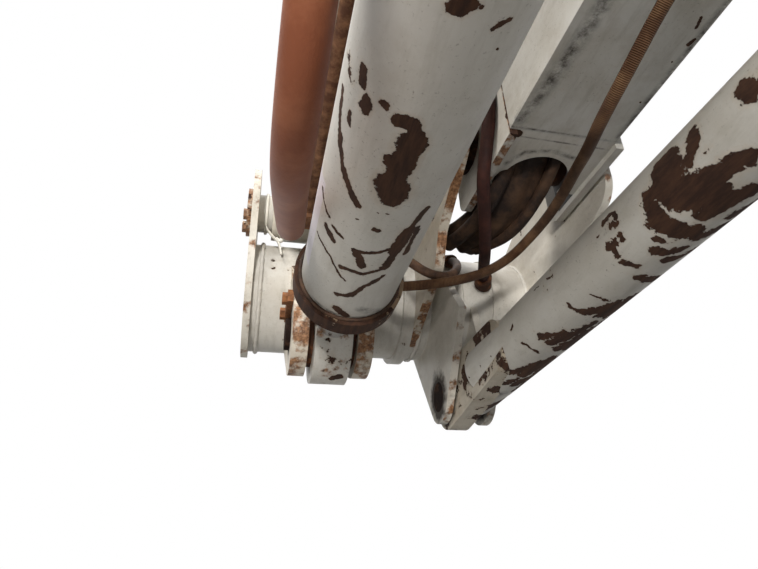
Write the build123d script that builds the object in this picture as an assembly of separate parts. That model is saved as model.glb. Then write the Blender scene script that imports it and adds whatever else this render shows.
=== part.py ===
from build123d import *
import math
import os

# Boom elbow of an articulating aerial lift, in millimetres.
# +Y runs along the lower boom towards the elbow, +X runs across the booms from the upper boom
# to the lower boom, and +Z points up. The origin is the middle of the lower boom's bottom wall
# at its cut end.

# Lower boom, a welded box section
boom_width = 164.0
boom_height = 203.0
boom_wall = 8.0
boom_seam_y = 631.0
end_plate = 12.7
end_left_face = -84.0
end_plate_rise = 22.0
end_plate_drop = 9.0
end_corner_radius = 22.0
notch_width = 105.0
notch_start_y = 676.0
prong_end_y = 752.0
top_end_y = 700.0

# Lower boom pivot, about which the elbow turns
pivot_y = 768.0
pivot_z = 90.0
pivot_end = 62.0
pivot_pin_radius = 31.75
pivot_pin_overhang = 6.0
pivot_head_radius = 50.0
pivot_head = 12.0
pivot_boss_radius = 50.0

# Cross tube of the elbow and its side plates
tube_y = 1085.0
tube_z = -63.0
tube_radius = 101.6
tube_wall = 12.7
plate_gap = 5.3
right_plate = 12.7
right_lobe_radius = 77.0
right_corner_radius = 45.0
left_plate = 16.0
left_plate_gap = 27.0
left_lobe_radius = 92.0
left_edge_y = 743.0
left_toe_y = 865.0
left_corner_radius = 20.0
plate_edge_slope = -0.325
doubler_width = 21.0
doubler_height = 10.0
collar = 74.0
collar_height = 3.0
collar_rim = 16.0
collar_rim_height = 6.0
collar_gap = 58.0

# Outer flange and the shaft that the upper boom turns on
flange_face_x = -419.0
flange = 12.0
flange_foot_radius = 113.6
flange_head_radius = 83.0
shaft_y = 1020.0
shaft_z = 87.0
shaft_radius = 25.4
shaft_disc = 9.0
shaft_disc_radius = 46.0
shaft_bolt_radius = 11.0
shaft_bolt_head = 8.0
shaft_bolt_rise = 6.0
shaft_bolt_pitch = 30.0
shaft_bolt_y = 14.0
spacer_radius = 36.0
spacer_length = 26.0

# Upper boom's butt, a box section on a hub
upper_width = 154.0
upper_height = 200.0
upper_wall = 8.0
upper_box_end_y = 880.0
hub_radius = 50.0
hub_cheek_lap = 20.0

# Lift cylinder under the upper boom
cylinder_x = -290.5
clevis_y = 942.0
clevis_z = -198.5
lug = 25.0
lug_radius = 65.0
eye_width = 56.0
eye_radius = 76.0
eye_pin_radius = 25.4
eye_pin_overhang = 8.0
washer = 9.2
washer_radius = 50.0
barrel_radius = 63.5
barrel_wall = 9.5
barrel_base = 22.0
barrel_start_y = 20.0
barrel_end_y = 740.0
gland_radius = 73.0
gland_length = 28.0
gland_neck = 60.0
rod_radius = 31.75
rod_sink = 10.0
piston_y = 100.0
piston_length = 40.0
base_eye_y = -60.0
base_eye_radius = 50.0
base_eye_width = 60.0
base_eye_bore = 25.4
base_stem_radius = 34.0
keeper_bar = 9.0
keeper_bar_height = 20.0
keeper_bar_length = 78.0
keeper_bar_y = 884.0
keeper_rise = 40.0
keeper_bolt_radius = 10.0
keeper_bolt_head = 8.0
keeper_bolt_inset = 12.0

# Levelling strut under the lower boom
strut_pin_y = 999.0
strut_pin_z = -273.0
strut_pin_radius = 25.4
strut_pin_overhang = 8.0
strut_radius = 44.5
strut_wall = 6.0
strut_end_x = 11.0
strut_end_z = -223.0
strut_cap = 150.0
strut_reach = 40.0
strut_flat_y = 880.0
strut_eye_x = -77.0
strut_eye_bar = 33.0
strut_eye_radius = 54.0
strut_eye_neck = 40.0
strut_eye_neck_y = 800.0
strut_bush_radius = 36.0
strut_bush = 55.0
strut_lug = 12.7
strut_lug_radius = 45.0
gusset_front_y = 862.0
gusset_top_y = 905.0
gusset_top_z = -105.0
gusset_side_z = -168.0

# Line and hoses, by their radii and the places of their blocks
line_radius = 9.0
line_x = -339.0
line_drop = 18.0
line_start_y = 90.0
line_end_y = 846.0
block_length = 34.0
block_half_width = 18.0
block_drop = 34.0
loop_radius = 13.5
brown_radius = 8.0
red_radius = 10.0
dark_radius = 7.5
sleeve_half_width = 36.0
sleeve_half_depth = 22.0
red_split_radius = 206.0
brown_split_radius = 198.0
ferrule_radius = 13.0
wide_ferrule_radius = 16.0
ferrule_length = 60.0
hanger_y = 596.0
hanger = 14.0
hanger_low_z = 22.0
hanger_high_z = 112.0

# Clearances
running_fit = 0.05
seat_gap = 0.3
side_gap = 3.0

# Hose routes, each a list of places chosen by hand
loop_route = [
    (-386.0, 186.0, 20.0), (-386.0, 186.0, -60.0), (-387.0, 180.0, -140.0), (-388.0, 190.0, -222.0),
    (-390.0, 236.0, -290.0), (-392.0, 305.0, -334.0), (-392.0, 375.0, -338.0), (-388.0, 446.0, -308.0),
    (-383.0, 518.0, -278.0), (-379.0, 584.0, -244.0), (-379.0, 622.0, -184.0), (-382.0, 630.0, -112.0),
    (-385.0, 622.0, -44.0), (-385.0, 622.0, 20.0)]
brown_route = [
    (-2.0, 130.0, -21.0), (-2.0, 205.0, -21.0), (-6.0, 285.0, -19.0), (-8.0, 350.0, -20.0), (-13.0, 408.0, -34.0),
    (-24.0, 460.0, -66.0), (-30.0, 518.0, -90.0), (-12.0, 576.0, -82.0), (8.0, 632.0, -62.0), (28.0, 698.0, -48.0),
    (37.0, 760.0, -44.0), (36.0, 820.0, -44.0), (11.0, 862.0, -66.0), (-40.0, 862.0, -101.0), (-98.0, 852.0, -127.0),
    (-150.0, 862.0, -134.0), (-186.0, 876.0, -132.0), (-206.0, 906.0, -120.0), (-208.0, 948.0, -100.0)]
red_route = [
    (-94.5, 650.0, 120.0), (-94.5, 650.0, 82.0), (-94.5, 664.0, 40.0), (-94.5, 686.0, 4.0), (-94.5, 710.0, -30.0),
    (-82.0, 744.0, -50.0), (-64.0, 788.0, -62.0), (-48.0, 830.0, -67.0), (-34.0, 868.0, -67.0),
    (-21.0, 904.0, -63.0), (-5.0, 945.0, -58.0)]
dark_route = [
    (-50.0, 980.0, -8.0), (-52.0, 950.0, -26.0), (-70.0, 905.0, -72.0), (-102.0, 868.0, -111.0),
    (-140.0, 856.0, -117.0), (-172.0, 857.0, -95.0), (-190.0, 878.0, -62.0), (-193.0, 914.0, -42.0),
    (-193.0, 955.0, -34.0)]
sleeve_route = [
    (-4.0, 610.4, 60.0), (-4.0, 652.0, 60.0), (-5.0, 706.0, 28.0), (-12.0, 762.0, -8.0), (-26.0, 816.0, -27.0),
    (-41.0, 862.0, -30.0), (-56.0, 900.0, -17.0)]

os.makedirs("parts", exist_ok=True)


def save(name, shape):
    shape.label = name
    export_step(shape, f"parts/{name}.step")
    return shape


def disc_x(y, z, radius, left, right):
    """A round bar along X between two faces."""
    length = right - left
    return Pos((left + right) / 2, y, z) * Rot(0, 90, 0) * Cylinder(radius, length)


def plate_x(outline, left, right):
    """A plate of a Y-Z outline between two faces along X."""
    return Pos(left, 0, 0) * extrude(Plane.YZ * outline, right - left)


def round_at(y, z, radius):
    return Pos(y, z) * Circle(radius)


def hull_of(first, second):
    """The outline that a belt makes round two circles, each given as y, z and radius."""
    return make_hull(round_at(*first).edges() + round_at(*second).edges())


def box_between(low, high):
    size = [b - a for a, b in zip(low, high)]
    middle = [(a + b) / 2 for a, b in zip(low, high)]
    return Pos(*middle) * Box(*size)


boom_bottom = -boom_wall / 2
boom_top = boom_bottom + boom_height
half_width = boom_width / 2
end_right_face = half_width + seat_gap + end_plate
plate_left_face = end_left_face - left_plate_gap
plate_right_face = end_right_face + plate_gap
upper_left = cylinder_x - upper_width / 2
upper_right = cylinder_x + upper_width / 2
upper_low = shaft_z - upper_height / 2
upper_high = shaft_z + upper_height / 2
lug_face = eye_width / 2 + washer + seat_gap
strut_right_lug_x = strut_eye_x + strut_bush + side_gap


def lower_boom_tube():
    outer = box_between((-half_width, 0, boom_bottom), (half_width, boom_seam_y, boom_top))
    inner = box_between((-half_width + boom_wall, -1, boom_bottom + boom_wall),
                        (half_width - boom_wall, boom_seam_y + 1, boom_top - boom_wall))
    return save("lower_boom_tube", outer - inner)


def end_plate_outline():
    """A side plate of the boom's end: square to the seam, with rounded corners past the pivot."""
    low = boom_bottom - end_plate_drop
    high = boom_top - end_plate_rise
    length = pivot_y + pivot_end - boom_seam_y
    outline = Pos(boom_seam_y + length / 2, (low + high) / 2) * Rectangle(length, high - low)
    corners = outline.vertices().sort_by(Axis.X)[2:]
    outline = fillet(corners, end_corner_radius)
    return outline - round_at(pivot_y, pivot_z, pivot_boss_radius + seat_gap)


def lower_boom_end():
    """Side plates that hold the pivot tube, and the notched plates between them."""
    side = end_plate_outline()
    inner_left = end_left_face + end_plate
    inner_right = end_right_face - end_plate
    shape = plate_x(side, end_left_face, inner_left) + plate_x(side, inner_right, end_right_face)
    start = boom_seam_y + seat_gap
    bottom = box_between((inner_left, start, boom_bottom), (inner_right, prong_end_y, boom_bottom + boom_wall))
    notch_radius = notch_width / 2
    notch = Pos(0, notch_start_y + notch_radius) * Circle(notch_radius)
    notch += Pos(0, notch_start_y + notch_radius + boom_height / 2) * Rectangle(notch_width, boom_height)
    bottom -= Pos(0, 0, boom_bottom - 1) * extrude(notch, boom_wall + 2)
    top_z = boom_top - end_plate_rise
    top = box_between((inner_left, start, top_z - boom_wall), (inner_right, top_end_y, top_z))
    cut = box_between((-boom_width, 0, boom_bottom - boom_height), (boom_width, start, boom_top + boom_height))
    return save("lower_boom_end", shape + bottom + top - cut)


def pivot_tube():
    """The tube across the boom's end that the pivot pin turns in."""
    tube = disc_x(pivot_y, pivot_z, pivot_boss_radius, end_left_face, end_right_face)
    tube -= disc_x(pivot_y, pivot_z, pivot_pin_radius + running_fit, end_left_face - 1, end_right_face + 1)
    return save("pivot_tube", tube)


def cross_tube():
    start = flange_face_x
    end = plate_right_face
    tube = disc_x(tube_y, tube_z, tube_radius, start, end)
    tube -= disc_x(tube_y, tube_z, tube_radius - tube_wall, start - 1, end + 1)
    return save("cross_tube", tube)


def tube_collar():
    """The sleeve on the tube that ends in a raised rim, by the right side plate."""
    right = plate_right_face - collar_gap
    left = right - collar
    ring = disc_x(tube_y, tube_z, tube_radius + collar_height, left, right)
    ring += disc_x(tube_y, tube_z, tube_radius + collar_rim_height, right - collar_rim, right)
    ring -= disc_x(tube_y, tube_z, tube_radius, left - 1, right + 1)
    return save("tube_collar", ring)


def tube_doubler():
    """The ring that backs the left side plate on the tube."""
    left = plate_left_face - left_plate - doubler_width
    right = plate_left_face - left_plate
    ring = disc_x(tube_y, tube_z, tube_radius + doubler_height, left, right)
    ring -= disc_x(tube_y, tube_z, tube_radius, left - 1, right + 1)
    return save("tube_doubler", ring)


def lower_edge_z(y):
    """Height of the side plates' lower edge, a slope that touches the tube."""
    lean = math.hypot(1, plate_edge_slope)
    return tube_z - tube_radius * lean + plate_edge_slope * (y - tube_y)


def side_plate_outline(lobe_radius, edge_y, toe_y, corner_radius):
    """Lobe on the pivot, a near edge down to the toe, and a lower edge that slopes to the tube."""
    body = hull_of((pivot_y, pivot_z, lobe_radius), (tube_y, tube_z, tube_radius))
    foot_y = tube_y + tube_radius * plate_edge_slope / math.hypot(1, plate_edge_slope)
    toe = Polyline((edge_y, pivot_z), (toe_y, lower_edge_z(toe_y)), (foot_y, lower_edge_z(foot_y)),
                   (tube_y, tube_z), (pivot_y, pivot_z), close=True)
    toe = make_face(toe)
    corner = toe.vertices().sort_by_distance((toe_y, lower_edge_z(toe_y)))[0]
    return body + fillet(corner, corner_radius)


def inner_plate_right():
    near_y = pivot_y - right_lobe_radius
    outline = side_plate_outline(right_lobe_radius, near_y, near_y, right_corner_radius)
    outline -= round_at(pivot_y, pivot_z, pivot_pin_radius)
    plate = plate_x(outline, plate_right_face, plate_right_face + right_plate)
    return save("inner_plate_right", plate)


def inner_plate_left():
    """The plate that the pivot pin and the upper boom's shaft both end in."""
    head = (shaft_y, shaft_z, flange_head_radius)
    outline = side_plate_outline(left_lobe_radius, left_edge_y, left_toe_y, left_corner_radius)
    outline += hull_of((tube_y, tube_z, tube_radius), head)
    outline += hull_of((pivot_y, pivot_z, left_lobe_radius), head)
    outline -= round_at(pivot_y, pivot_z, pivot_pin_radius)
    outline -= round_at(shaft_y, shaft_z, shaft_radius)
    outline -= round_at(tube_y, tube_z, tube_radius)
    return save("inner_plate_left", plate_x(outline, plate_left_face - left_plate, plate_left_face))


def outer_flange():
    outline = hull_of((tube_y, tube_z, flange_foot_radius), (shaft_y, shaft_z, flange_head_radius))
    outline -= round_at(shaft_y, shaft_z, shaft_radius)
    return save("outer_flange", plate_x(outline, flange_face_x - flange, flange_face_x))


def pivot_pin():
    left = plate_left_face - left_plate
    right = plate_right_face + right_plate
    pin = disc_x(pivot_y, pivot_z, pivot_pin_radius, left - pivot_pin_overhang, right + seat_gap)
    head = disc_x(pivot_y, pivot_z, pivot_head_radius, right + seat_gap, right + seat_gap + pivot_head)
    return save("pivot_pin", pin + head)


def pivot_spacer():
    """The thick washer that fills the gap between the boom's end and the left side plate."""
    left = plate_left_face + seat_gap
    right = end_left_face - seat_gap
    ring = disc_x(pivot_y, pivot_z, pivot_boss_radius, left, right)
    ring -= disc_x(pivot_y, pivot_z, pivot_pin_radius + running_fit, left - 1, right + 1)
    return save("pivot_spacer", ring)


def upper_shaft():
    return save("upper_shaft", disc_x(shaft_y, shaft_z, shaft_radius, flange_face_x - flange, plate_left_face))


def shaft_keeper():
    """The round keeper plate on the flange's outer face, with its two bolt heads."""
    face = flange_face_x - flange - seat_gap
    disc = disc_x(shaft_y, shaft_z, shaft_disc_radius, face - shaft_disc, face)
    for z in (shaft_z + shaft_bolt_rise - shaft_bolt_pitch, shaft_z + shaft_bolt_rise):
        head = Pos(shaft_y + shaft_bolt_y, z) * RegularPolygon(shaft_bolt_radius, 6)
        disc += plate_x(head, face - shaft_disc - shaft_bolt_head, face - shaft_disc)
    return save("shaft_keeper", disc)


def shaft_spacer():
    left = flange_face_x + seat_gap
    ring = disc_x(shaft_y, shaft_z, spacer_radius, left, left + spacer_length)
    ring -= disc_x(shaft_y, shaft_z, shaft_radius + running_fit, left - 1, left + spacer_length + 1)
    return save("shaft_spacer", ring)


def cylinder_lugs():
    """The two ears that hold the rod's eye, welded to the tube."""
    for name, left in (("cylinder_lug_left", cylinder_x - lug_face - lug), ("cylinder_lug_right", cylinder_x + lug_face)):
        outline = hull_of((clevis_y, clevis_z, lug_radius), (tube_y, tube_z, tube_radius - tube_wall))
        outline -= round_at(tube_y, tube_z, tube_radius)
        outline -= round_at(clevis_y, clevis_z, eye_pin_radius)
        save(name, plate_x(outline, left, left + lug))


def rod_eye_pin():
    reach = lug_face + lug + eye_pin_overhang
    return save("rod_eye_pin", disc_x(clevis_y, clevis_z, eye_pin_radius, cylinder_x - reach, cylinder_x + reach))


def pin_keeper():
    """The bar that stops the rod pin turning, bolted to the left ear."""
    face = cylinder_x - lug_face - lug - seat_gap
    low = clevis_z + keeper_rise - keeper_bar_height / 2
    end_y = keeper_bar_y + keeper_bar_length
    bar = box_between((face - keeper_bar, keeper_bar_y, low), (face, end_y, low + keeper_bar_height))
    for y in (keeper_bar_y + keeper_bolt_inset, end_y - keeper_bolt_inset):
        head = Pos(y, clevis_z + keeper_rise) * RegularPolygon(keeper_bolt_radius, 6)
        bar += plate_x(head, face - keeper_bar - keeper_bolt_head, face - keeper_bar)
    return save("pin_keeper", bar)


def bar_y(radius, start, end):
    """A round bar on the lift cylinder's axis."""
    return Pos(cylinder_x, (start + end) / 2, clevis_z) * Rot(90, 0, 0) * Cylinder(radius, end - start)


def eye_on(y, radius, bore, width):
    """A round eye across the lift cylinder's axis, and the bore through it."""
    eye = disc_x(y, clevis_z, radius, cylinder_x - width / 2, cylinder_x + width / 2)
    return eye, disc_x(y, clevis_z, bore, cylinder_x - width, cylinder_x + width)


def lift_rod():
    """The rod with its piston, which ends inside its eye."""
    rod = bar_y(rod_radius, piston_y, clevis_y - eye_radius + rod_sink)
    rod += bar_y(barrel_radius - barrel_wall - seat_gap, piston_y, piston_y + piston_length)
    eye, bore = eye_on(clevis_y, eye_radius, eye_pin_radius + running_fit, eye_width)
    save("rod_eye", eye - bore - rod)
    return save("lift_rod", rod - bore)


def eye_washers():
    for name, side in (("eye_washer_left", -1), ("eye_washer_right", 1)):
        near = cylinder_x + side * (eye_width / 2 + seat_gap)
        far = near + side * (washer - seat_gap)
        left, right = min(near, far), max(near, far)
        ring = disc_x(clevis_y, clevis_z, washer_radius, left, right)
        ring -= disc_x(clevis_y, clevis_z, eye_pin_radius + running_fit, left - 1, right + 1)
        save(name, ring)


def barrel():
    tube = bar_y(barrel_radius, barrel_start_y, barrel_end_y)
    tube -= bar_y(barrel_radius - barrel_wall, barrel_start_y + barrel_base, barrel_end_y + 1)
    return save("barrel", tube)


def gland_ring():
    """The gland at the barrel's mouth, which the rod slides through."""
    ring = bar_y(gland_radius, barrel_end_y, barrel_end_y + gland_length)
    neck = bar_y(barrel_radius - barrel_wall, barrel_end_y - gland_neck, barrel_end_y)
    bore = bar_y(rod_radius + running_fit, barrel_end_y - gland_neck - 1, barrel_end_y + gland_length + 1)
    return save("gland_ring", ring + neck - bore)


def barrel_base_eye():
    eye, bore = eye_on(base_eye_y, base_eye_radius, base_eye_bore, base_eye_width)
    stem = bar_y(base_stem_radius, base_eye_y + base_eye_bore, barrel_start_y)
    return save("barrel_base_eye", eye + stem - bore)


def upper_boom_tube():
    outer = box_between((upper_left, 0, upper_low), (upper_right, upper_box_end_y, upper_high))
    outer -= box_between((upper_left + upper_wall, -1, upper_low + upper_wall),
                         (upper_right - upper_wall, upper_box_end_y + 1, upper_high - upper_wall))
    return save("upper_boom_tube", outer)


def upper_boom_hub():
    """The hub on the shaft, with a cheek to each side wall of the box."""
    left = flange_face_x + spacer_length + 2 * seat_gap
    right = plate_left_face - left_plate - doubler_width - side_gap
    hub = disc_x(shaft_y, shaft_z, hub_radius, left, right)
    foot = Pos(upper_box_end_y + hub_cheek_lap / 2, shaft_z) * Rectangle(hub_cheek_lap, upper_height)
    cheek = make_hull(round_at(shaft_y, shaft_z, hub_radius).edges() + foot.edges())
    for x in (upper_left, upper_right - upper_wall):
        hub += plate_x(cheek, x, x + upper_wall)
    hub -= disc_x(shaft_y, shaft_z, shaft_radius + running_fit, left - 1, right + 1)
    return save("upper_boom_hub", hub)


def strut_lugs():
    """The strut's two ears: a wide gusset on the left and a plain ear on the right."""
    pin = round_at(strut_pin_y, strut_pin_z, strut_pin_radius)
    gusset = make_hull(round_at(strut_pin_y, strut_pin_z, strut_lug_radius).edges()
                       + round_at(tube_y, tube_z, tube_radius - tube_wall).edges()
                       + Polyline((gusset_top_y, gusset_top_z), (gusset_front_y, gusset_side_z)).edges())
    gusset -= round_at(tube_y, tube_z, tube_radius) + pin
    ear = hull_of((strut_pin_y, strut_pin_z, strut_lug_radius), (tube_y, tube_z, tube_radius - tube_wall))
    ear -= round_at(tube_y, tube_z, tube_radius + collar_height) + pin
    left = strut_eye_x - side_gap - strut_lug
    save("strut_lug_left", plate_x(gusset, left, left + strut_lug))
    save("strut_lug_right", plate_x(ear, strut_right_lug_x, strut_right_lug_x + strut_lug))


def strut_pin():
    left = strut_eye_x - side_gap - strut_lug
    right = strut_right_lug_x + strut_lug + strut_pin_overhang
    return save("strut_pin", disc_x(strut_pin_y, strut_pin_z, strut_pin_radius, left, right))


def strut():
    """The strut's tube, flattened at its end, on a thick eye bar with a bush."""
    middle_x = strut_eye_x + strut_bush / 2
    start = Vector(middle_x, strut_pin_y, strut_pin_z)
    run = Vector(strut_end_x, 0, strut_end_z) - start
    axis = Plane(origin=start, z_dir=run)
    tube = axis * (Pos(0, 0, (strut_reach + run.length) / 2) * Cylinder(strut_radius, run.length - strut_reach))
    tube -= axis * (Pos(0, 0, strut_cap + run.length) * Cylinder(strut_radius - strut_wall, 2 * run.length))
    room = 2 * strut_pin_y
    slab = box_between((strut_eye_x, -room, -room), (strut_eye_x + strut_bush, room, room))
    near = box_between((-room, strut_flat_y, -room), (room, room, room))
    tube = (tube - near) + (tube & near & slab)
    neck_z = strut_pin_z + (strut_end_z - strut_pin_z) * (strut_pin_y - strut_eye_neck_y) / strut_pin_y
    bar = hull_of((strut_pin_y, strut_pin_z, strut_eye_radius), (strut_eye_neck_y, neck_z, strut_eye_neck))
    eye = plate_x(bar, strut_eye_x, strut_eye_x + strut_eye_bar)
    eye += disc_x(strut_pin_y, strut_pin_z, strut_bush_radius, strut_eye_x, strut_eye_x + strut_bush)
    bore = disc_x(strut_pin_y, strut_pin_z, strut_pin_radius + running_fit, strut_eye_x - 1, strut_eye_x + strut_bush + 1)
    save("strut_tube", tube - bore - eye)
    return save("strut_eye", eye - bore)


def hydraulic_line():
    """The steel line under the upper boom, between two blocks."""
    z = upper_low - line_drop
    length = line_end_y - line_start_y
    line = Pos(line_x, line_start_y + length / 2, z) * Rot(90, 0, 0) * Cylinder(line_radius, length)
    for y in (line_start_y, line_end_y):
        low = (line_x - block_half_width, y - block_length / 2, upper_low - seat_gap - block_drop)
        high = (line_x + block_half_width, y + block_length / 2, upper_low - seat_gap)
        line += box_between(low, high)
    return save("hydraulic_line", line)


def hose(name, route, section):
    """A hose of straight runs that arcs join, each arc as large as its runs allow."""
    places = [Vector(*place) for place in route]
    bends = []
    for before, corner, after in zip(places, places[1:], places[2:]):
        turn = (corner - before).get_angle(after - corner)
        run = min((corner - before).length, (after - corner).length)
        bends.append(0.45 * run / math.tan(math.radians(turn / 2)))
    path = FilletPolyline(*places, radius=bends)
    solid = sweep(Plane(origin=path @ 0, x_dir=(1, 0, 0), z_dir=path % 0) * section, path=path)
    share = solid.volume / (section.area * path.length)
    print(name, "length", round(path.length), "bends", [round(bend) for bend in bends], "volume share", round(share, 4))
    return solid


def split_hose(name, route, radius, parting):
    """A hose over the elbow's pivot, parted on a circle about it into one length for each body."""
    solid = hose(name, route, Circle(radius))
    room = 2 * pivot_y
    before = box_between((-room, 0, -room), (room, pivot_y, room))
    save(name + "_boom", solid & (before + disc_x(pivot_y, pivot_z, parting, -room, room)))
    gap = disc_x(pivot_y, pivot_z, parting + seat_gap, -room, room)
    return save(name + "_elbow", solid - before - gap)


def hoses():
    save("loop_hose", hose("loop_hose", loop_route, Circle(loop_radius)))
    split_hose("brown_hose", brown_route, brown_radius, brown_split_radius)
    split_hose("red_hose", red_route, red_radius, red_split_radius)
    save("dark_hose", hose("dark_hose", dark_route, Circle(dark_radius)))
    save("hose_sleeve", hose("hose_sleeve", sleeve_route, Ellipse(sleeve_half_width, sleeve_half_depth)))


def ferrule(end, before, radius):
    """The crimped end that a hose goes into, as far as the cross tube."""
    tip = Vector(*end)
    way = (tip - Vector(*before)).normalized()
    start = Plane(origin=tip + way * seat_gap, z_dir=way)
    crimp = start * (Pos(0, 0, ferrule_length / 2) * Cylinder(radius, ferrule_length))
    face = disc_x(tube_y, tube_z, tube_radius + seat_gap, flange_face_x, plate_right_face)
    right = plate_right_face - collar_gap
    left = right - collar
    face += disc_x(tube_y, tube_z, tube_radius + collar_height + seat_gap, left - seat_gap, right + seat_gap)
    return (crimp - face).solids().sort_by_distance(tip)[0]


def elbow_ports():
    """The crimped hose ends that stand on the cross tube."""
    ends = [ferrule(brown_route[-1], brown_route[-2], ferrule_radius),
            ferrule(red_route[-1], red_route[-2], wide_ferrule_radius),
            ferrule(dark_route[-1], dark_route[-2], ferrule_radius),
            ferrule(dark_route[0], dark_route[1], ferrule_radius)]
    return save("elbow_ports", Compound(children=ends))


def boom_ports():
    """The blocks on the lower boom that its hoses come out of."""
    start = brown_route[0]
    low = (start[0] - block_half_width, start[1] - block_length, boom_bottom - seat_gap - block_drop)
    high = (start[0] + block_half_width, start[1] - seat_gap, boom_bottom - seat_gap)
    blocks = [box_between(low, high)]
    start = red_route[0]
    low = (start[0] - red_radius, start[1] - block_half_width, start[2] + seat_gap)
    high = (end_left_face - seat_gap, start[1] + block_half_width, start[2] + block_length)
    blocks.append(box_between(low, high))
    return save("boom_ports", Compound(children=blocks))


def hose_hanger():
    """The bar across the inside of the boom that the sleeved hoses hang from."""
    inside = half_width - boom_wall - seat_gap
    bar = box_between((-inside, hanger_y, hanger_low_z), (inside, hanger_y + hanger, hanger_high_z))
    return save("hose_hanger", bar)


def loop_ports():
    """The blocks on the upper boom's side that the loop hose hangs from."""
    blocks = []
    for place in (loop_route[0], loop_route[-1]):
        low = (place[0] - loop_radius - 2, place[1] - block_half_width, place[2] + seat_gap)
        high = (upper_left - seat_gap, place[1] + block_half_width, place[2] + block_length)
        blocks.append(box_between(low, high))
    return save("loop_ports", Compound(children=blocks))


for make in (lower_boom_tube, lower_boom_end, pivot_tube, cross_tube, tube_collar, tube_doubler, inner_plate_right,
             inner_plate_left, outer_flange, pivot_pin, pivot_spacer, upper_shaft, shaft_keeper, shaft_spacer,
             cylinder_lugs, rod_eye_pin, pin_keeper, lift_rod, eye_washers, barrel, gland_ring, barrel_base_eye,
             upper_boom_tube, upper_boom_hub, strut_lugs, strut_pin, strut, hydraulic_line, hoses, elbow_ports,
             boom_ports, hose_hanger, loop_ports):
    make()
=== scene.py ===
import math

import bmesh
import bpy
from mathutils import Matrix, Vector, noise


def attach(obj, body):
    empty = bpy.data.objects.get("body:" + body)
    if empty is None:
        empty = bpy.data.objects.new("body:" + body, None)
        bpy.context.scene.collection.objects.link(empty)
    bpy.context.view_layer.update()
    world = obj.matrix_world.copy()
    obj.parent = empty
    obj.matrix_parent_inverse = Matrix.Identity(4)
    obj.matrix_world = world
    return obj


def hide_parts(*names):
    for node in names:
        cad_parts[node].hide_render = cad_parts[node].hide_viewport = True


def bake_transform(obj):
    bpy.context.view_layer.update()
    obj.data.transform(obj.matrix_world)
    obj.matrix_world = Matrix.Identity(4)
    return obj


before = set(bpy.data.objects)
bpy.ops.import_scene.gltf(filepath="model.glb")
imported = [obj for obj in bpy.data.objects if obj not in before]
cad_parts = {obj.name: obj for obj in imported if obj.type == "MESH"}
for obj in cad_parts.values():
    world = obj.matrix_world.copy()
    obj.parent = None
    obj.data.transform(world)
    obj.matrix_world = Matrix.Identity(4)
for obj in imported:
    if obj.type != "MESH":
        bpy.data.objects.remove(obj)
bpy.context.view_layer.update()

# Camera: on the ground between the booms, looking up along them to the elbow. Its three directions
# come from the photograph's vanishing points, and its lens from the width of its view.
camera = bpy.data.objects.new("camera", bpy.data.cameras.new("camera"))
bpy.context.scene.collection.objects.link(camera)
right = Vector((0.976, -0.215, -0.030)).normalized()
forward = Vector((0.202, 0.850, 0.486))
forward = (forward - right * forward.dot(right)).normalized()
up = right.cross(forward)
camera_place = Vector((-0.404, 0.100, -0.575))
turned = Matrix((right, up, -forward)).transposed()
camera.matrix_world = Matrix.Translation(camera_place) @ turned.to_4x4()
camera.data.lens = 27.02
camera.data.sensor_width = 36.0
camera.data.clip_start = 0.02
bpy.context.scene.camera = camera
bpy.context.scene.view_settings.view_transform = "Standard"

# Floor and lights: a pale floor just under the camera, a white background that only the camera and
# gloss see, and soft lamps from the left, from above and, low down, from the front.
def seen_rays(tree):
    """One for the rays of the camera, of gloss and of glass, and nothing for the light itself."""
    rays = tree.nodes.new("ShaderNodeLightPath")
    chosen = rays.outputs["Is Camera Ray"]
    for kind in ("Is Glossy Ray", "Is Transmission Ray"):
        either = tree.nodes.new("ShaderNodeMath")
        either.operation = "MAXIMUM"
        tree.links.new(chosen, either.inputs[0])
        tree.links.new(rays.outputs[kind], either.inputs[1])
        chosen = either.outputs[0]
    return chosen


floor_z = camera_place.z - 0.06
floor_mesh = bpy.data.meshes.new("floor")
floor_half = 9.0
floor_corners = ((-floor_half, -floor_half), (floor_half, -floor_half), (floor_half, floor_half), (-floor_half, floor_half))
floor_mesh.from_pydata([(x, y, floor_z) for x, y in floor_corners], [], [(0, 1, 2, 3)])
floor = bpy.data.objects.new("floor", floor_mesh)
bpy.context.scene.collection.objects.link(floor)
floor_material = bpy.data.materials.new("floor")
floor_material.use_nodes = True
floor_shader = floor_material.node_tree.nodes["Principled BSDF"]
floor_shader.inputs["Roughness"].default_value = 0.8
floor_colour = floor_material.node_tree.nodes.new("ShaderNodeMix")
floor_colour.data_type = "RGBA"
floor_colour.inputs["A"].default_value = (0.36, 0.36, 0.355, 1)
floor_colour.inputs["B"].default_value = (0.80, 0.80, 0.79, 1)
floor_material.node_tree.links.new(seen_rays(floor_material.node_tree), floor_colour.inputs["Factor"])
floor_material.node_tree.links.new(floor_colour.outputs["Result"], floor_shader.inputs["Base Color"])
floor_mesh.materials.append(floor_material)

world = bpy.data.worlds.new("world")
world.use_nodes = True
bpy.context.scene.world = world
sky = world.node_tree
sky.nodes.clear()
sky_out = sky.nodes.new("ShaderNodeOutputWorld")
seen = sky.nodes.new("ShaderNodeBackground")
seen.inputs["Color"].default_value = (1, 1, 1, 1)
seen.inputs["Strength"].default_value = 1.0
unseen = sky.nodes.new("ShaderNodeBackground")
unseen.inputs["Color"].default_value = (0.86, 0.92, 1.0, 1)
unseen.inputs["Strength"].default_value = 0.15
choose = sky.nodes.new("ShaderNodeMixShader")
sky.links.new(seen_rays(sky), choose.inputs["Fac"])
sky.links.new(unseen.outputs[0], choose.inputs[1])
sky.links.new(seen.outputs[0], choose.inputs[2])
sky.links.new(choose.outputs[0], sky_out.inputs["Surface"])

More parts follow.
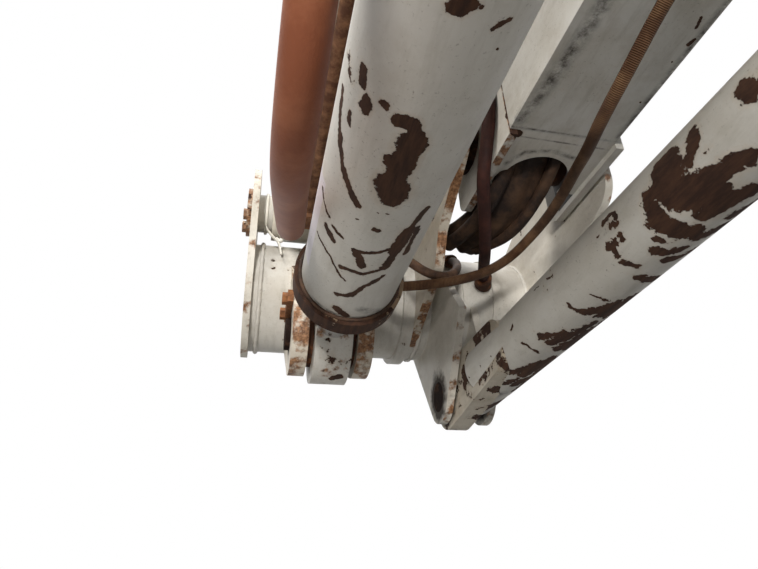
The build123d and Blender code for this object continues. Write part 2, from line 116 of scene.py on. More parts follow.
target = Vector((-0.2, 0.75, -0.05))
for name, place, size, power, spread, colour in (
        ("left_lamp", (-1.7, -0.3, 2.7), 0.8, 115, 180, (1.0, 0.96, 0.90)),
        ("top_lamp", (0.6, 1.6, 3.2), 2.0, 35, 180, (1.0, 0.98, 0.95)),
        ("front_lamp", (-1.3, -2.7, -0.2), 0.5, 21, 75, (1.0, 0.98, 0.94))):
    lamp = bpy.data.objects.new(name, bpy.data.lights.new(name, "AREA"))
    lamp.data.size = size
    lamp.data.energy = power
    lamp.data.color = colour
    lamp.data.spread = math.radians(spread)
    bpy.context.scene.collection.objects.link(lamp)
    lamp.location = place
    lamp.rotation_euler = (target - Vector(place)).to_track_quat("-Z", "Y").to_euler()


# Chipped paint: cream-white enamel that has flaked to dark brown rust. Each material lays its own
# flakes from a short table, over small chips, streaks and dirt that the noise gives.
def add(tree, kind, **settings):
    node = tree.nodes.new(kind)
    for key, value in settings.items():
        if key.startswith("in_"):
            slot = key[3:]
            node.inputs[int(slot) if slot.isdigit() else slot.replace("_", " ")].default_value = value
        else:
            setattr(node, key, value)
    return node


def math_node(tree, operation, first, second=None, third_value=None):
    node = add(tree, "ShaderNodeMath", operation=operation)
    for socket, value in zip(node.inputs, (first, second, third_value)):
        if value is None:
            continue
        if isinstance(value, (int, float)):
            socket.default_value = value
        else:
            tree.links.new(value, socket)
    return node.outputs[0]


def flake_group():
    """One flake: all within some distance of a short line, kept with the deepest so far."""
    group = bpy.data.node_groups.new("flake", "ShaderNodeTree")
    for label, kind in (("Surface", "NodeSocketVector"), ("Start", "NodeSocketVector"), ("Way", "NodeSocketVector"),
                        ("One Over", "NodeSocketFloat"), ("Half", "NodeSocketFloat"), ("So Far", "NodeSocketFloat")):
        group.interface.new_socket(label, in_out="INPUT", socket_type=kind)
    group.interface.new_socket("Depth", in_out="OUTPUT", socket_type="NodeSocketFloat")
    start = group.nodes.new("NodeGroupInput")
    end = group.nodes.new("NodeGroupOutput")
    offset = add(group, "ShaderNodeVectorMath", operation="SUBTRACT")
    group.links.new(start.outputs["Surface"], offset.inputs[0])
    group.links.new(start.outputs["Start"], offset.inputs[1])
    along = add(group, "ShaderNodeVectorMath", operation="DOT_PRODUCT")
    group.links.new(offset.outputs[0], along.inputs[0])
    group.links.new(start.outputs["Way"], along.inputs[1])
    share = math_node(group, "MULTIPLY", along.outputs["Value"], start.outputs["One Over"])
    share = math_node(group, "MINIMUM", math_node(group, "MAXIMUM", share, 0.0), 1.0)
    nearest = add(group, "ShaderNodeVectorMath", operation="SCALE")
    aside = add(group, "ShaderNodeVectorMath", operation="DISTANCE")
    group.links.new(start.outputs["Way"], nearest.inputs[0])
    group.links.new(share, nearest.inputs["Scale"])
    group.links.new(offset.outputs[0], aside.inputs[0])
    group.links.new(nearest.outputs[0], aside.inputs[1])
    depth = math_node(group, "SUBTRACT", 1.0, math_node(group, "DIVIDE", aside.outputs["Value"], start.outputs["Half"]))
    group.links.new(math_node(group, "MAXIMUM", depth, start.outputs["So Far"]), end.inputs["Depth"])
    return group


flake = flake_group()


def deepest(tree, surface, flakes):
    """The depth inside the nearest flake. A flake is its half width and its line's places, in mm."""
    so_far = None
    for half, *places in flakes:
        for first, second in zip(places, places[1:] or [(places[0][0] + 0.1, places[0][1])]):
            way = ((second[0] - first[0]) / 1000, (second[1] - first[1]) / 1000, 0)
            one = add(tree, "ShaderNodeGroup", node_tree=flake)
            one.inputs["Start"].default_value = (first[0] / 1000, first[1] / 1000, 0)
            one.inputs["Way"].default_value = way
            one.inputs["One Over"].default_value = 1 / (way[0] ** 2 + way[1] ** 2)
            one.inputs["Half"].default_value = half / 1000
            one.inputs["So Far"].default_value = -9.0
            tree.links.new(surface, one.inputs["Surface"])
            if so_far is not None:
                tree.links.new(so_far, one.inputs["So Far"])
            so_far = one.outputs["Depth"]
    return so_far


def layer(tree, factor, below, colour):
    """One colour laid over another."""
    mix = add(tree, "ShaderNodeMix", data_type="RGBA")
    tree.links.new(factor, mix.inputs["Factor"])
    for socket, value in ((mix.inputs["A"], below), (mix.inputs["B"], colour)):
        if isinstance(value, tuple):
            socket.default_value = (*value, 1)
        else:
            tree.links.new(value, socket)
    return mix.outputs["Result"]


def ramp(tree, value, low, high, top=1.0):
    node = add(tree, "ShaderNodeMapRange", in_From_Min=low, in_From_Max=high, in_To_Max=top)
    tree.links.new(value, node.inputs["Value"])
    return node.outputs[0]


def noise_of(tree, where, scale, detail=6.0, roughness=0.65):
    node = add(tree, "ShaderNodeTexNoise", in_Scale=scale, in_Detail=detail, in_Roughness=roughness)
    tree.links.new(where, node.inputs["Vector"])
    return node


def inside(tree, sockets, low, high):
    """One inside the box, else nothing."""
    result = None
    for socket, a, b in zip(sockets, low, high):
        test = math_node(tree, "COMPARE", socket, (a + b) / 2, (b - a) / 2)
        result = test if result is None else math_node(tree, "MULTIPLY", result, test)
    return result


def painted(name, surface, flakes, grime=(), paint=(0.60, 0.58, 0.54), small=0.66, dirt=0.45, warp=0.006, ragged=0.5,
            rust=(0.026, 0.011, 0.0065), rims=0.0, rim_side=9.0, dark=None, label=None,
            grime_top=9.0, halos=()):
    """surface is "flat", or the axis of a round piece: its place at y = 0 and its slope along y,
    as (x, z, x per y, z per y, radius). rims is how rusty the edges of plates are, and halos are
    the greasy rings round pins, as (y, z, radius)."""
    material = bpy.data.materials.new(name)
    material.use_nodes = True
    tree = material.node_tree
    shader = tree.nodes["Principled BSDF"]
    places = add(tree, "ShaderNodeTexCoord")
    where = places.outputs["Object"]
    parts = add(tree, "ShaderNodeSeparateXYZ")
    tree.links.new(where, parts.inputs[0])
    x, y, z = parts.outputs
    if surface == "flat":
        across = x
    else:
        x0, z0, x_slope, z_slope, radius = surface
        sideways = math_node(tree, "SUBTRACT", x, math_node(tree, "MULTIPLY_ADD", y, x_slope, x0))
        downwards = math_node(tree, "SUBTRACT", math_node(tree, "MULTIPLY_ADD", y, z_slope, z0), z)
        across = math_node(tree, "MULTIPLY", math_node(tree, "ARCTAN2", sideways, downwards), radius)
    joined = add(tree, "ShaderNodeCombineXYZ")
    tree.links.new(across, joined.inputs[0])
    tree.links.new(y, joined.inputs[1])
    shift = add(tree, "ShaderNodeVectorMath", operation="SUBTRACT", in_1=(0.5, 0.5, 0.5))
    tree.links.new(noise_of(tree, where, 110.0, 5.0, 0.6).outputs["Color"], shift.inputs[0])
    moved = add(tree, "ShaderNodeVectorMath", operation="MULTIPLY_ADD", in_1=(warp, warp, 0.0))
    tree.links.new(shift.outputs[0], moved.inputs[0])
    tree.links.new(joined.outputs[0], moved.inputs[2])
    wide = add(tree, "ShaderNodeVectorMath", operation="SUBTRACT", in_1=(0.5, 0.5, 0.5))
    tree.links.new(noise_of(tree, where, 42.0, 4.0, 0.6).outputs["Color"], wide.inputs[0])
    jagged = add(tree, "ShaderNodeVectorMath", operation="MULTIPLY_ADD", in_1=(0.011, 0.011, 0.0))
    tree.links.new(wide.outputs[0], jagged.inputs[0])
    tree.links.new(moved.outputs[0], jagged.inputs[2])
    grain = noise_of(tree, where, 190.0, 6.0, 0.7).outputs["Fac"]
    tone = noise_of(tree, where, 7.0, 7.0, 0.6).outputs["Fac"]
    spots = noise_of(tree, where, 24.0, 8.0, 0.66).outputs["Fac"]
    depth = math_node(tree, "MULTIPLY", math_node(tree, "SUBTRACT", spots, small), 9.0)
    if flakes:
        large = deepest(tree, jagged.outputs[0], flakes)
        edge = math_node(tree, "MULTIPLY_ADD", grain, ragged, -ragged / 2)
        depth = math_node(tree, "MAXIMUM", math_node(tree, "ADD", large, edge), depth)
    bare = ramp(tree, depth, 0.0, 0.06)
    colour = layer(tree, ramp(tree, tone, 0.42, 0.78, dirt), paint, (paint[0] * 0.60, paint[1] * 0.54, paint[2] * 0.44))
    drawn = add(tree, "ShaderNodeVectorMath", operation="MULTIPLY", in_1=(1.0, 0.16, 0.5))
    tree.links.new(where, drawn.inputs[0])
    streaks = ramp(tree, noise_of(tree, drawn.outputs[0], 75.0, 7.0, 0.7).outputs["Fac"], 0.50, 0.72, 0.55 * dirt + 0.15)
    colour = layer(tree, streaks, colour, (paint[0] * 0.50, paint[1] * 0.47, paint[2] * 0.42))
    mottle = ramp(tree, noise_of(tree, where, 20.0, 8.0, 0.72).outputs["Fac"], 0.46, 0.72, 0.75 * dirt + 0.1)
    colour = layer(tree, mottle, colour, (paint[0] * 0.62, paint[1] * 0.57, paint[2] * 0.50))
    if label:
        colour = layer(tree, inside(tree, (across, y), *label), colour, (0.60, 0.565, 0.60))
    if grime:
        soot = ramp(tree, deepest(tree, joined.outputs[0], grime), 0.0, 0.9)
        soot = math_node(tree, "MULTIPLY", soot, ramp(tree, noise_of(tree, where, 60.0, 8.0, 0.75).outputs["Fac"], 0.38, 0.62))
        soot = math_node(tree, "MULTIPLY", soot, math_node(tree, "LESS_THAN", z, grime_top))
        colour = layer(tree, soot, colour, (0.075, 0.068, 0.062))
    stain = math_node(tree, "MULTIPLY", ramp(tree, depth, -0.5, 0.0, 0.55), math_node(tree, "MULTIPLY", tone, 0.8))
    colour = layer(tree, stain, colour, (0.42, 0.29, 0.17))
    deep_rust = layer(tree, ramp(tree, noise_of(tree, drawn.outputs[0], 130.0, 8.0, 0.72).outputs["Fac"], 0.40, 0.74), rust,
                      (rust[0] * 3.2, rust[1] * 3.4, rust[2] * 3.0))
    if rims:
        facing = add(tree, "ShaderNodeSeparateXYZ")
        tree.links.new(places.outputs["Normal"], facing.inputs[0])
        edge = math_node(tree, "LESS_THAN", math_node(tree, "ABSOLUTE", facing.outputs[0]), 0.5)
        edge = math_node(tree, "MULTIPLY", edge, math_node(tree, "LESS_THAN", x, rim_side))
        edge = math_node(tree, "MULTIPLY", edge, ramp(tree, noise_of(tree, where, 38.0, 7.0, 0.6).outputs["Fac"],
                                                      0.62 - 0.26 * rims, 0.72 - 0.26 * rims))
        orange = layer(tree, ramp(tree, grain, 0.38, 0.66), (0.10, 0.045, 0.022), (0.38, 0.20, 0.10))
        colour = layer(tree, edge, colour, orange)
    specks = ramp(tree, noise_of(tree, where, 300.0, 4.0, 0.7).outputs["Fac"], 0.61, 0.70, 0.75)
    specks = math_node(tree, "MULTIPLY", specks, ramp(tree, tone, 0.40, 0.62))
    colour = layer(tree, specks, colour, (0.10, 0.075, 0.055))
    colour = layer(tree, bare, colour, deep_rust)
    dull = bare
    for halo_y, halo_z, reach in halos:
        beside = add(tree, "ShaderNodeCombineXYZ")
        tree.links.new(y, beside.inputs[0])
        tree.links.new(z, beside.inputs[1])
        away = add(tree, "ShaderNodeVectorMath", operation="DISTANCE", in_1=(halo_y, halo_z, 0.0))
        tree.links.new(beside.outputs[0], away.inputs[0])
        uneven = math_node(tree, "MULTIPLY_ADD", spots, -0.05, math_node(tree, "ADD", away.outputs["Value"], 0.025))
        ring = ramp(tree, uneven, 1.15 * reach, 0.8 * reach, 0.94)
        colour = layer(tree, ring, colour, (0.018, 0.011, 0.008))
        dull = math_node(tree, "MAXIMUM", dull, ring)
    # dark: a box painted with shade where the boom's inside lies unlit, over the dark brown dirt in it.
    if dark:
        colour = layer(tree, inside(tree, (x, y, z), *dark), colour, layer(tree, tone, (0.006, 0.004, 0.003), (0.03, 0.018, 0.012)))
    tree.links.new(colour, shader.inputs["Base Color"])
    rough = add(tree, "ShaderNodeMapRange", in_To_Min=0.46, in_To_Max=0.9)
    tree.links.new(dull, rough.inputs["Value"])
    tree.links.new(rough.outputs[0], shader.inputs["Roughness"])
    shader.inputs["Specular IOR Level"].default_value = 0.3
    peel = noise_of(tree, where, 420.0, 3.0, 0.5).outputs["Fac"]
    height = math_node(tree, "MULTIPLY_ADD", bare, -1.0, math_node(tree, "MULTIPLY", peel, 0.12))
    bump = add(tree, "ShaderNodeBump", in_Strength=0.9, in_Distance=0.0009)
    tree.links.new(height, bump.inputs["Height"])
    tree.links.new(bump.outputs[0], shader.inputs["Normal"])
    return material


def dress(material, *nodes):
    for node in nodes:
        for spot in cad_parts[node].material_slots:
            spot.material = material


barrel_paint = painted("barrel_paint", (-0.2905, -0.1985, 0.0, 0.0, 0.0635), (
    # the kidney-shaped flake, from its hooked top to its foot
    (6.5, (-22, 403), (-12, 402), (-4, 412)), (12, (-5, 420), (-7, 440), (-9, 456)), (15.5, (-9, 472), (-7, 487)),
    (6, (-19, 446), (-14, 452)),
    # the long scratch on the left and the spots above it
    (3.6, (-86, 420), (-74, 458), (-58, 490)), (4.6, (-58, 490), (-42, 508), (-33, 519)), (5, (-62, 382), (-60, 392)), (6.5, (-53, 404), (-52, 408)),
    (3, (-40, 396), (-36, 396)), (3, (-66, 430), (-64, 438)), (6, (-12, 303), (-4, 300)), (2, (4, 300)), (2, (19, 315), (28, 308)), (1.5, (30, 330)),
    # the scratches above the gland
    (2.2, (-84, 548), (-74, 558), (-61, 566)), (4.4, (-62, 584), (-48, 592)), (2.4, (-53, 574), (-39, 579)),
    (1.7, (-73, 612), (-46, 624), (-23, 652)), (3.0, (-23, 588), (15, 577)), (4.8, (-20, 590), (-10, 612)),
    (4.2, (36, 513), (26, 536)), (9, (24, 545), (21, 582)), (6, (21, 580), (15, 614)), (3.8, (35, 545), (38, 594)),
    (3.2, (-31, 628), (-9, 628), (14, 616)), (3.8, (19, 633), (-2, 658), (-9, 680), (-26, 689)), (6, (-21, 720), (-8, 732)),
    (3, (-11, 543), (-7, 543)), (1.3, (-12, 515)), (1.3, (-4, 514)), (1.2, (-30, 537))
    ), grime=((9, (8, 712), (46, 742)), (5, (-60, 735), (40, 738))), small=0.70, dirt=0.30, ragged=0.8, label=((-0.112, 0.535), (-0.078, 0.690)))
dress(barrel_paint, "barrel", "barrel_base_eye")
strut_paint = painted("strut_paint", (0.011, -0.223, -0.06056, -0.05005, 0.0445), (
    # the great flake near the photograph's right edge
    (10, (-70, 338), (-65, 336)), (7.5, (-76, 391), (-67, 396)), (5.5, (-62, 398), (-58, 404)), (15, (-64, 422), (-60, 436)),
    (9, (-75, 420), (-76, 436)), (9, (-44, 416), (-35, 400), (-31, 386), (-28, 372)), (15, (-44, 434), (-32, 426), (-25, 410)),
    (10, (-14, 432), (-8, 414), (-2, 398)), (10.5, (-58, 456), (-40, 464), (-24, 462), (-8, 456)), (8, (2, 460), (14, 456), (28, 440)),
    (8, (16, 430), (30, 408)),
    # the small ones after it
    (4, (-77, 519), (-79, 508), (-73, 500)), (3.5, (-66, 501), (-69, 512)), (2.2, (-68, 530)), (3.6, (-55, 507), (-49, 505)),
    (4, (-52, 515), (-51, 526)), (3.6, (-50, 521), (-42, 523)), (4.2, (-31, 524), (-25, 521), (-19, 518)), (4, (-27, 480), (-21, 480)),
    (5.5, (-19, 494), (-8, 489), (3, 480)), (5, (0, 499), (17, 492), (30, 481)), (6, (-6, 535), (8, 536), (30, 541)),
    # the ragged rows along the underside
    (3.5, (-35, 617), (-22, 618), (-14, 604)), (6, (-15, 614), (-4, 600), (3, 584)), (9, (3, 612), (11, 596), (17, 578)),
    (9, (16, 616), (27, 592)), (2, (-27, 586), (-19, 585), (-9, 583)),
    (5, (-30, 694), (-22, 677), (-14, 662)), (8, (-14, 692), (-6, 668), (2, 648)), (7, (0, 650), (7, 634)),
    (9, (2, 704), (9, 680), (15, 655)), (11, (20, 704), (28, 664), (27, 634)), (2.4, (-40, 725), (-29, 722), (-17, 720)),
    (4, (-42, 800), (-31, 789), (-20, 788)), (6, (-18, 792), (-8, 768), (0, 745)), (9, (-2, 790), (6, 765), (12, 735)),
    (10, (20, 786), (26, 740)), (3, (-64, 724), (-62, 730)), (1.7, (-45, 777)), (1.7, (-56, 799)),
    (1.8, (-54, 834)), (2.2, (-53, 875)), (1.3, (-76, 620), (-80, 634)), (1.3, (-82, 652), (-84, 662)),
    # the worn end at the eye
    (6, (-26, 836), (-12, 825), (-3, 806)), (9, (4, 824), (14, 800)), (10, (22, 850), (26, 800)),
    (10, (-60, 932), (-40, 946), (-20, 948)), (12, (0, 930), (20, 900))
    ), grime=((16, (-30, 900), (0, 860)), (14, (-60, 940), (40, 940))), small=0.66, dirt=0.35, ragged=1.3, warp=0.015, paint=(0.53, 0.51, 0.47))
dress(strut_paint, "strut_tube")
plain_paint = painted("plain_paint", "flat", (), small=0.67, dirt=0.45)
dress(plain_paint, "cross_tube", "tube_collar", "tube_doubler", "shaft_spacer")
boom_paint = painted("boom_paint", "flat", ((2, (62, 427), (66, 440)), (2.6, (74, 456), (73, 462)), (1.5, (71, 488)),
                                            (1.4, (71, 553))),
                     grime=((15, (-56, 390), (-59, 470), (-62, 520), (-69, 575), (-75, 612)), (8, (-60, 430), (-72, 590)), (3, (-82, 627), (82, 627)),
                            (7, (78, 380), (80, 620))),
                     small=0.70, dirt=0.60, paint=(0.56, 0.55, 0.52), grime_top=0.001,
                     # dark: painted shade, with dark brown dirt, inside the boom tube
                     dark=((-0.0745, -0.01, 0.0075), (0.0745, 0.64, 0.196)))
dress(boom_paint, "lower_boom_tube")
end_paint = painted("end_paint", "flat", ((6, (-78, 630), (-66, 638)),), grime=((2.2, (-70, 643), (80, 645)), (6, (-58, 700), (-40, 672), (0, 662), (40, 672))),
                    small=0.69, dirt=0.45, paint=(0.60, 0.58, 0.54), rims=0.75, rim_side=-0.0705, grime_top=0.001,
                    # dark: painted shade, with dark brown dirt, inside the boom's notched end
                    dark=((-0.0718, 0.62, -0.0035), (0.0823, 0.80, 0.30)))
dress(end_paint, "lower_boom_end")
cream_paint = painted("cream_paint", "flat", (), small=0.70, dirt=0.30, paint=(0.66, 0.62, 0.54))
dress(cream_paint, "upper_boom_tube", "upper_boom_hub")
rim_paint = painted("rim_paint", "flat", (), small=0.64, dirt=0.55, paint=(0.62, 0.57, 0.49), rims=0.72,
                    halos=((0.942, -0.1985, 0.033), (0.768, 0.090, 0.042)))
dress(rim_paint, "cylinder_lug_left", "cylinder_lug_right", "inner_plate_left")
gland_paint = painted("gland_paint", "flat", (), small=0.43, dirt=0.9, paint=(0.34, 0.24, 0.155))
dress(gland_paint, "gland_ring")
worn_paint = painted("worn_paint", "flat", (), small=0.545, dirt=0.9, paint=(0.50, 0.45, 0.37), halos=((0.999, -0.273, 0.048),))
dress(worn_paint, "strut_eye")
keeper_paint = painted("keeper_paint", "flat", (), small=0.60, dirt=0.7, paint=(0.60, 0.55, 0.47), rims=1.0)
dress(keeper_paint, "shaft_keeper")
pale_rim_paint = painted("pale_rim_paint", "flat", (), small=0.66, dirt=0.5, paint=(0.64, 0.61, 0.55), rims=0.35,
                         halos=((0.999, -0.273, 0.041), (0.768, 0.090, 0.055)))
dress(pale_rim_paint, "inner_plate_right", "strut_lug_left", "strut_lug_right", "outer_flange")
eye_paint = painted("eye_paint", "flat", ((7, (-284, 930), (-276, 925)),), small=0.60, dirt=0.5, rims=0.2)
dress(eye_paint, "rod_eye")


def rusty(name, dark=(0.060, 0.026, 0.015), light=(0.30, 0.11, 0.035), orange=0.5, roughness=0.85, shine=0.25):
    """Bare steel that has rusted: dark brown with orange where it is fresh."""
    material = bpy.data.materials.new(name)
    material.use_nodes = True
    tree = material.node_tree
    shader = tree.nodes["Principled BSDF"]
    where = add(tree, "ShaderNodeTexCoord").outputs["Object"]
    blotch = add(tree, "ShaderNodeTexNoise", in_Scale=45.0, in_Detail=8.0, in_Roughness=0.68)
    tree.links.new(where, blotch.inputs["Vector"])
    ramp = add(tree, "ShaderNodeMapRange", in_From_Min=0.62 - 0.4 * orange, in_From_Max=0.80 - 0.2 * orange)
    tree.links.new(blotch.outputs["Fac"], ramp.inputs["Value"])
    mixed = add(tree, "ShaderNodeMix", data_type="RGBA")
    mixed.inputs["A"].default_value = (*dark, 1)
    mixed.inputs["B"].default_value = (*light, 1)
    tree.links.new(ramp.outputs[0], mixed.inputs["Factor"])
    tree.links.new(mixed.outputs["Result"], shader.inputs["Base Color"])
    shader.inputs["Roughness"].default_value = roughness
    shader.inputs["Specular IOR Level"].default_value = shine
    pits = add(tree, "ShaderNodeTexNoise", in_Scale=700.0, in_Detail=4.0)
    tree.links.new(where, pits.inputs["Vector"])
    bump = add(tree, "ShaderNodeBump", in_Strength=0.6, in_Distance=0.0006)
    tree.links.new(pits.outputs["Fac"], bump.inputs["Height"])
    tree.links.new(bump.outputs[0], shader.inputs["Normal"])
    return material


old_rust = rusty("old_rust", orange=0.25)
dress(old_rust, "pivot_tube", "hose_hanger", "boom_ports", "loop_ports", "elbow_ports",
      "eye_washer_left", "eye_washer_right")
fresh_rust = rusty("fresh_rust", orange=0.6, light=(0.33, 0.14, 0.055))
dress(fresh_rust, "pin_keeper")
pin_rust = rusty("pin_rust", dark=(0.016, 0.010, 0.008), light=(0.09, 0.045, 0.026), orange=0.35, roughness=0.9, shine=0.06)
dress(pin_rust, "pivot_pin", "pivot_spacer", "upper_shaft", "rod_eye_pin", "strut_pin")
line_rust = rusty("line_rust", dark=(0.10, 0.045, 0.025), light=(0.34, 0.17, 0.09), orange=0.5)
dress(line_rust, "hydraulic_line")
chrome = bpy.data.materials.new("chrome")
chrome.use_nodes = True
chrome.node_tree.nodes["Principled BSDF"].inputs["Base Color"].default_value = (0.62, 0.62, 0.63, 1)
chrome.node_tree.nodes["Principled BSDF"].inputs["Metallic"].default_value = 1.0
chrome.node_tree.nodes["Principled BSDF"].inputs["Roughness"].default_value = 0.22
dress(chrome, "lift_rod")


# Hoses: each is a tube round its own smooth line, with its length along it kept for the cover's
# pattern. The lines go through the same places as the CAD's.
def smooth_line(name, route):
    """Points along the route's NURBS spline, in metres."""
    curve = bpy.data.curves.new(name + "_line", "CURVE")
    curve.dimensions = "3D"
    spline = curve.splines.new("NURBS")
    spline.points.add(len(route) - 1)
    for point, place in zip(spline.points, route):
        point.co = (place[0] / 1000, place[1] / 1000, place[2] / 1000, 1)
    spline.order_u = 3
    spline.use_endpoint_u = True
    spline.resolution_u = 16
    line = bpy.data.objects.new(name + "_line", curve)
    mesh = bpy.data.meshes.new_from_object(line)
    points = [vertex.co.copy() for vertex in mesh.vertices]
    bpy.data.objects.remove(line)
    bpy.data.curves.remove(curve)
    bpy.data.meshes.remove(mesh)
    return points


def tube_along(name, points, radius, sides=24, lump=None, depth=None, side=Vector((0, 0, 1))):
    """A closed tube round the points, with the length along it as an attribute. depth is its other
    radius where it is flat, across the side that it starts with."""
    mesh = bmesh.new()
    along = mesh.verts.layers.float.new("along")
    round_it = mesh.verts.layers.float.new("around")
    depth = depth or radius
    rings = []
    length = 0.0
    for i, point in enumerate(points):
        before = points[max(i - 1, 0)]
        after = points[min(i + 1, len(points) - 1)]
        way = (after - before).normalized()
        side = (side - way * side.dot(way)).normalized()
        other = way.cross(side)
        length += (point - before).length
        ring = []
        for k in range(sides):
            angle = math.tau * k / sides
            reach = 1.0 if lump is None else lump(length, angle)
            vertex = mesh.verts.new(point + reach * (radius * math.cos(angle) * side + depth * math.sin(angle) * other))
            vertex[along] = length
            vertex[round_it] = angle
            ring.append(vertex)
        rings.append(ring)
    for first, second in zip(rings, rings[1:]):
        for k in range(sides):
            mesh.faces.new((first[k], first[(k + 1) % sides], second[(k + 1) % sides], second[k]))
    mesh.faces.new(list(reversed(rings[0])))
    mesh.faces.new(rings[-1])
    for face in mesh.faces:
        face.smooth = len(face.verts) == 4
    bmesh.ops.recalc_face_normals(mesh, faces=mesh.faces)
    data = bpy.data.meshes.new(name)
    mesh.to_mesh(data)
    mesh.free()
    piece = bpy.data.objects.new(name, data)
    bpy.context.scene.collection.objects.link(piece)
    return piece


def hose_cover(name, colour, light, ribs=0.0, rib_pitch=0.0022, roughness=0.7):
    """Rubber or woven hose cover: worn patches along it and, where wanted, ribs across it, with painted shade in the
    grooves between them.
    """
    material = bpy.data.materials.new(name)
    material.use_nodes = True
    tree = material.node_tree
    shader = tree.nodes["Principled BSDF"]
    where = add(tree, "ShaderNodeTexCoord").outputs["Object"]
    wear = add(tree, "ShaderNodeTexNoise", in_Scale=28.0, in_Detail=8.0, in_Roughness=0.65)
    tree.links.new(where, wear.inputs["Vector"])
    worn = add(tree, "ShaderNodeMapRange", in_From_Min=0.42, in_From_Max=0.70)
    tree.links.new(wear.outputs["Fac"], worn.inputs["Value"])
    mixed = add(tree, "ShaderNodeMix", data_type="RGBA")
    mixed.inputs["A"].default_value = (*colour, 1)
    mixed.inputs["B"].default_value = (*light, 1)
    tree.links.new(worn.outputs[0], mixed.inputs["Factor"])
    tree.links.new(mixed.outputs["Result"], shader.inputs["Base Color"])
    shader.inputs["Roughness"].default_value = roughness
    shader.inputs["Specular IOR Level"].default_value = 0.25
    fine = add(tree, "ShaderNodeTexNoise", in_Scale=600.0, in_Detail=3.0)
    tree.links.new(where, fine.inputs["Vector"])
    height = math_node(tree, "MULTIPLY", fine.outputs["Fac"], 0.3)
    if ribs:
        along = add(tree, "ShaderNodeAttribute", attribute_name="along")
        around = add(tree, "ShaderNodeAttribute", attribute_name="around")
        phase = math_node(tree, "MULTIPLY_ADD", along.outputs["Fac"], math.tau / rib_pitch, around.outputs["Fac"])
        wave = math_node(tree, "SINE", phase)
        height = math_node(tree, "MULTIPLY_ADD", wave, ribs, height)
        # Painted shade: the colour darkens in the grooves, where the ribs' height is lowest.
        shade = add(tree, "ShaderNodeMix", data_type="RGBA", blend_type="MULTIPLY")
        shade.inputs["B"].default_value = (0.45, 0.42, 0.40, 1)
        tree.links.new(math_node(tree, "MULTIPLY_ADD", wave, -0.4, 0.4), shade.inputs["Factor"])
        tree.links.new(mixed.outputs["Result"], shade.inputs["A"])
        tree.links.new(shade.outputs["Result"], shader.inputs["Base Color"])
    bump = add(tree, "ShaderNodeBump", in_Strength=0.8, in_Distance=0.0008)
    tree.links.new(height, bump.inputs["Height"])
    tree.links.new(bump.outputs[0], shader.inputs["Normal"])
    return material


hoses = {}
for name, radius, route, material, stiffness in (
        ("loop", 13.5, ((-386, 186, 20), (-386, 186, -60), (-387, 180, -140), (-388, 190, -222), (-390, 236, -290),
                        (-392, 305, -334), (-392, 375, -338), (-388, 446, -308), (-383, 518, -278), (-379, 584, -244),
                        (-379, 622, -184), (-382, 630, -112), (-385, 622, -44), (-385, 622, 20)),
         hose_cover("orange_cover", (0.20, 0.060, 0.026), (0.28, 0.10, 0.048), roughness=0.5), "medium"),
        ("brown", 8.0, ((-2, 130, -21), (-2, 205, -21), (-6, 285, -19), (-8, 350, -20), (-13, 408, -34),
                        (-24, 460, -66), (-30, 518, -90), (-12, 576, -82), (8, 632, -62), (28, 698, -48),
                        (37, 760, -44), (36, 820, -44), (11, 862, -66), (-40, 862, -101), (-98, 852, -127),
                        (-150, 862, -134), (-186, 876, -132), (-206, 906, -120), (-208, 948, -100)),
         hose_cover("brown_cover", (0.085, 0.038, 0.016), (0.21, 0.112, 0.054), ribs=0.8), "medium"),
        ("red", 10.0, ((-94.5, 650, 120), (-94.5, 650, 82), (-94.5, 664, 40), (-94.5, 686, 4), (-94.5, 710, -30),
                       (-82, 744, -50), (-64, 788, -62), (-48, 830, -67), (-34, 868, -67), (-21, 904, -63),
                       (-5, 945, -58)),
         hose_cover("red_cover", (0.020, 0.005, 0.0035), (0.055, 0.016, 0.010)), "medium"),
        ("dark", 7.5, ((-50, 980, -8), (-52, 950, -26), (-70, 905, -72), (-102, 868, -111), (-140, 856, -117),
                       (-172, 857, -95), (-190, 878, -62), (-193, 914, -42), (-193, 955, -34)),
         hose_cover("dark_cover", (0.035, 0.020, 0.014), (0.16, 0.085, 0.05)), "limp")):
    line = smooth_line(name, route)
    hose = tube_along(name + "_hose_cover", line, radius / 1000)
    hose.data.materials.append(material)
    hoses[name] = hose
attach(hoses["loop"], "upper_boom")
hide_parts("loop_hose")
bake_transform(hoses["brown"])
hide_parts("brown_hose_boom", "brown_hose_elbow")
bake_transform(hoses["red"])
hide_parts("red_hose_boom", "red_hose_elbow")
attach(hoses["dark"], "elbow")
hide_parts("dark_hose")

# Sleeve: the wrapped hoses in the boom's end, a flat dark bundle with folds along it.
sleeve_line = smooth_line("sleeve", ((-4, 610.4, 60), (-4, 652, 60), (-5, 706, 28), (-12, 762, -8), (-26, 816, -27),
                                     (-41, 862, -30), (-56, 900, -17)))
sleeve = tube_along("sleeve_cover", sleeve_line, 0.0355, sides=64, depth=0.0215, side=Vector((1, 0, 0)),
                    lump=lambda length, angle: 0.90 + 0.055 * math.sin(7 * angle + 9 * length) + 0.07 * noise.noise(
                        Vector((math.cos(angle) * 2, math.sin(angle) * 2, length * 26))))
sleeve.data.materials.append(hose_cover("sleeve_fabric", (0.012, 0.006, 0.004), (0.065, 0.034, 0.018)))
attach(sleeve, "lower_boom")
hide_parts("hose_sleeve")

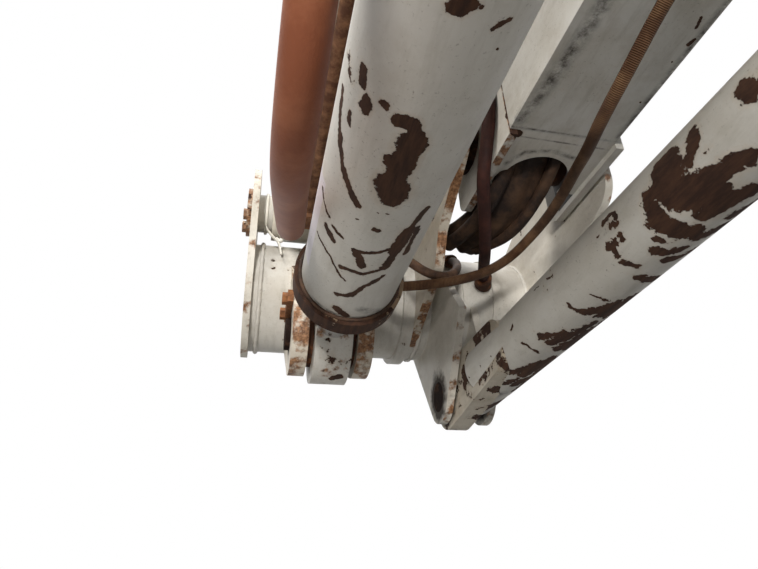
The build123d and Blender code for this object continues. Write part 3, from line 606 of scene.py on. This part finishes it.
# Bundle: three more old hoses beside the sleeve, which fill the notch and end above the elbow.
for number, (radius, route) in enumerate((
        (13, ((-40, 640, 80), (-42, 690, 36), (-53, 742, -16), (-65, 800, -34), (-74, 850, -34), (-86, 897, -27))),
        (13, ((-20, 640, 100), (-34, 700, 64), (-48, 770, 8), (-56, 826, -4), (-74, 868, -8), (-89, 896, -6))),
        (10, ((30, 640, 50), (24, 700, 4), (12, 760, -30), (-4, 810, -48), (-22, 850, -48), (-42, 886, -40))))):
    name = "bundle_hose_" + str(number + 1)
    line = smooth_line(name, route)
    hose = tube_along(name, line, radius / 1000, lump=lambda length, angle: 0.94 + 0.06 * noise.noise(
        Vector((math.cos(angle) * 2, math.sin(angle) * 2, length * 40))))
    hose.data.materials.append(sleeve.data.materials[0])
    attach(hose, "lower_boom")


# Weld beads: lumpy rings where the cross tube meets its plates, and the seam under the boom.
def bead(name, points, radius, body):
    points = [Vector(point) / 1000 for point in points]
    weld = tube_along(name, points, radius / 1000, sides=10, lump=lambda length, angle: 0.85 + 0.15 * math.sin(
        length * 1500) + 0.1 * noise.noise(Vector((length * 300, 0, 0))))
    weld.data.materials.append(plain_paint)
    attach(weld, body)


for name, x, size in (("flange_weld", -405.5, 102), ("left_plate_weld_out", -128.5, 102), ("left_plate_weld_in", -109.5, 102),
                      ("right_plate_weld", 98.8, 102)):
    bead(name, [(x, 1085 + size * math.cos(math.radians(turn)), -63 + size * math.sin(math.radians(turn)))
                for turn in range(0, 361, 3)], 4.5, "elbow")
bead("seam_weld", [(x, 631, -0.5) for x in range(-80, 82, 2)], 3.2, "lower_boom")

# Groove: a black ring in the groove between the barrel and its gland, standing for painted shade in the groove over its
# dirt.
groove_shade_and_dirt = tube_along("groove_shade_and_dirt", [Vector((-0.2905 + 0.0655 * math.sin(math.radians(turn)), 0.7395,
                                             -0.1985 + 0.0655 * math.cos(math.radians(turn)))) for turn in range(0, 361, 4)],
                       0.0026, sides=10)
groove_shade_and_dirt.data.materials.append(bpy.data.materials["dark_cover"])
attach(groove_shade_and_dirt, "barrel")

# Tie: a white cable tie round the shaft's spacer, with its head and a loose tail.
tie_ring = [Vector((-0.404, 1.020 + 0.0385 * math.sin(math.radians(turn)), 0.087 - 0.0385 * math.cos(math.radians(turn))))
            for turn in range(0, 361, 6)]
tie = tube_along("tie", tie_ring, 0.0028, sides=8, depth=0.0013, side=Vector((1, 0, 0)))
tail = tube_along("tie_tail", smooth_line("tie_tail", ((-404, 1006, 50), (-402, 994, 36), (-392, 984, 14), (-377, 982, 0),
                                                       (-373, 980, -27))), 0.0028, sides=8, depth=0.0016)
head = tube_along("tie_head", smooth_line("tie_head", ((-384, 982, 8), (-378, 982, 0), (-373, 981, 6))), 0.0042, sides=8)
tie_plastic = bpy.data.materials.new("tie_plastic")
tie_plastic.use_nodes = True
tie_plastic.node_tree.nodes["Principled BSDF"].inputs["Base Color"].default_value = (0.72, 0.70, 0.64, 1)
tie_plastic.node_tree.nodes["Principled BSDF"].inputs["Roughness"].default_value = 0.4
for piece in (tie, tail, head):
    piece.data.materials.append(tie_plastic)
    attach(piece, "elbow")
